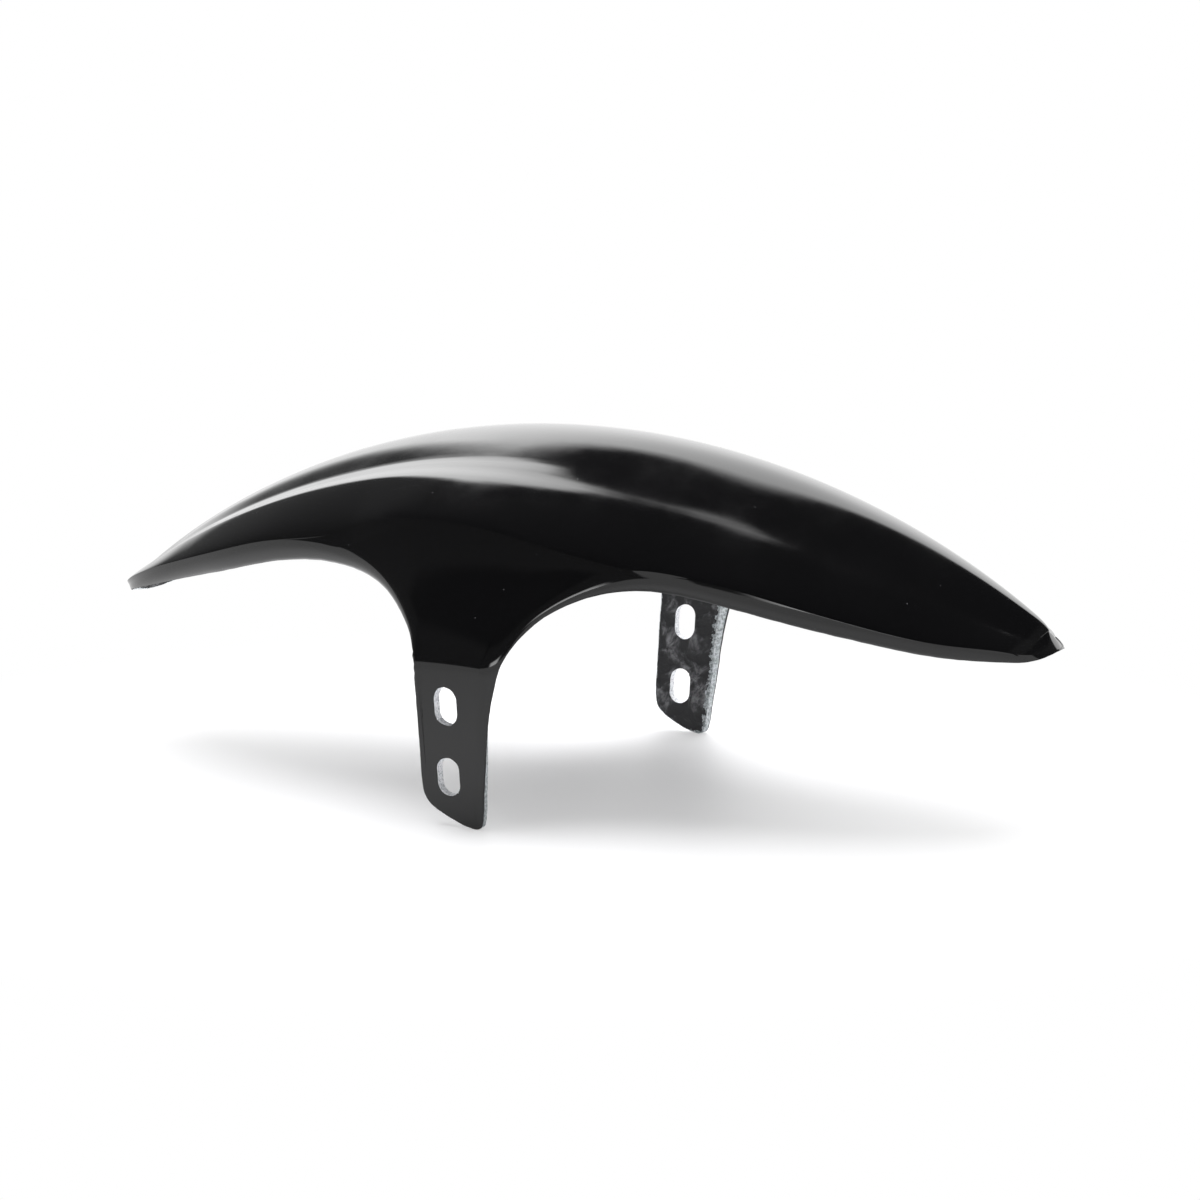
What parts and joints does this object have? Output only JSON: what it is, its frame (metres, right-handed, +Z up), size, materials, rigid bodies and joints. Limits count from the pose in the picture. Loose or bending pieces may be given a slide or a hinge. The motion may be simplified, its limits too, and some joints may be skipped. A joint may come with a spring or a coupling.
{
  "type": "motorcycle front fender",
  "caption": "Short front fender moulded in one piece: a ridged crown with pointed tips, rolled lower edges and two flared legs with slotted bolt holes.",
  "frame": {"origin": "bottom centre of the part's box, on the floor under the tips of the legs", "axes": "+X forward to the nose, +Y across the wheel to the far leg, +Z up from the tips of the legs"},
  "size_m": [0.4229, 0.2122, 0.1444],
  "materials": {
    "gelcoat": "glossy black gelcoat over glass-fibre laminate"
  },
  "bodies": {
    "root": {"fender": "gelcoat"}
  },
  "joints": []
}
